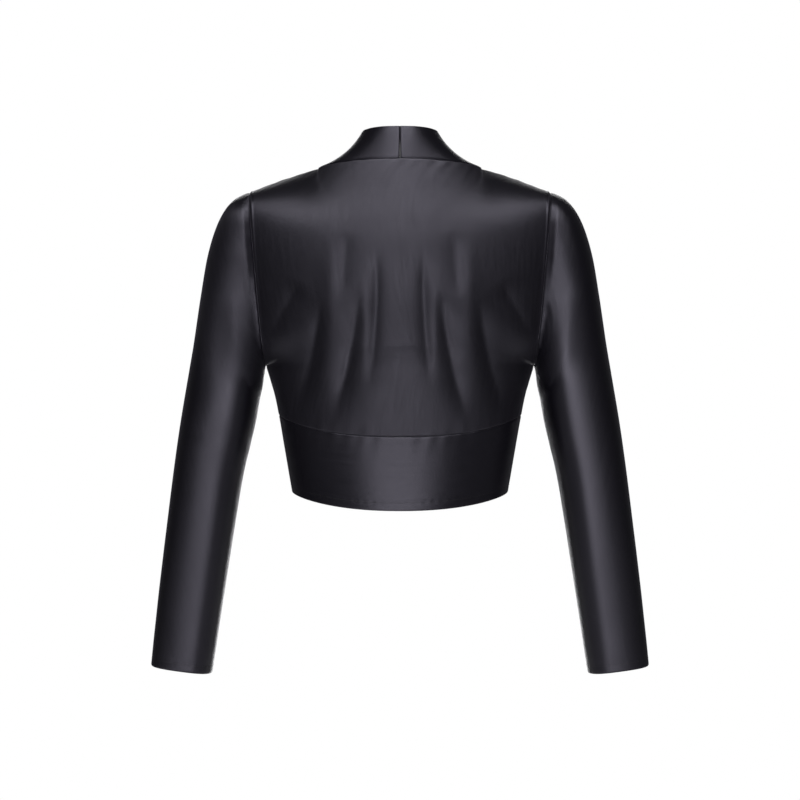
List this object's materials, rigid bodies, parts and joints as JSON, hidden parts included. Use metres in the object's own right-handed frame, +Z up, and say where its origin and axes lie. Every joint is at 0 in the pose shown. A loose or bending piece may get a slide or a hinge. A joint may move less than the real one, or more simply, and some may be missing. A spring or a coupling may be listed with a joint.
{
  "type": "bolero jacket",
  "caption": "Cropped long-sleeved satin bolero jacket, open at the front, with a standing shawl collar and a deep waistband, hollow as when worn.",
  "frame": {"origin": "middle of the neck opening, level with the neck end of the shoulder seams, where the wearer's shoulders carry the jacket", "axes": "+Z up, -Y towards the front of the jacket, +X towards the wearer's left"},
  "size_m": [0.6292, 0.2346, 0.6805],
  "materials": {
    "satin": "black satin with a soft grey-violet sheen"
  },
  "bodies": {
    "root": {"back": "satin", "front_left": "satin", "front_right": "satin", "collar_left": "satin", "collar_right": "satin", "band_back": "satin", "band_front_left": "satin", "band_front_right": "satin", "sleeve_left": "satin", "sleeve_right": "satin"}
  },
  "joints": []
}
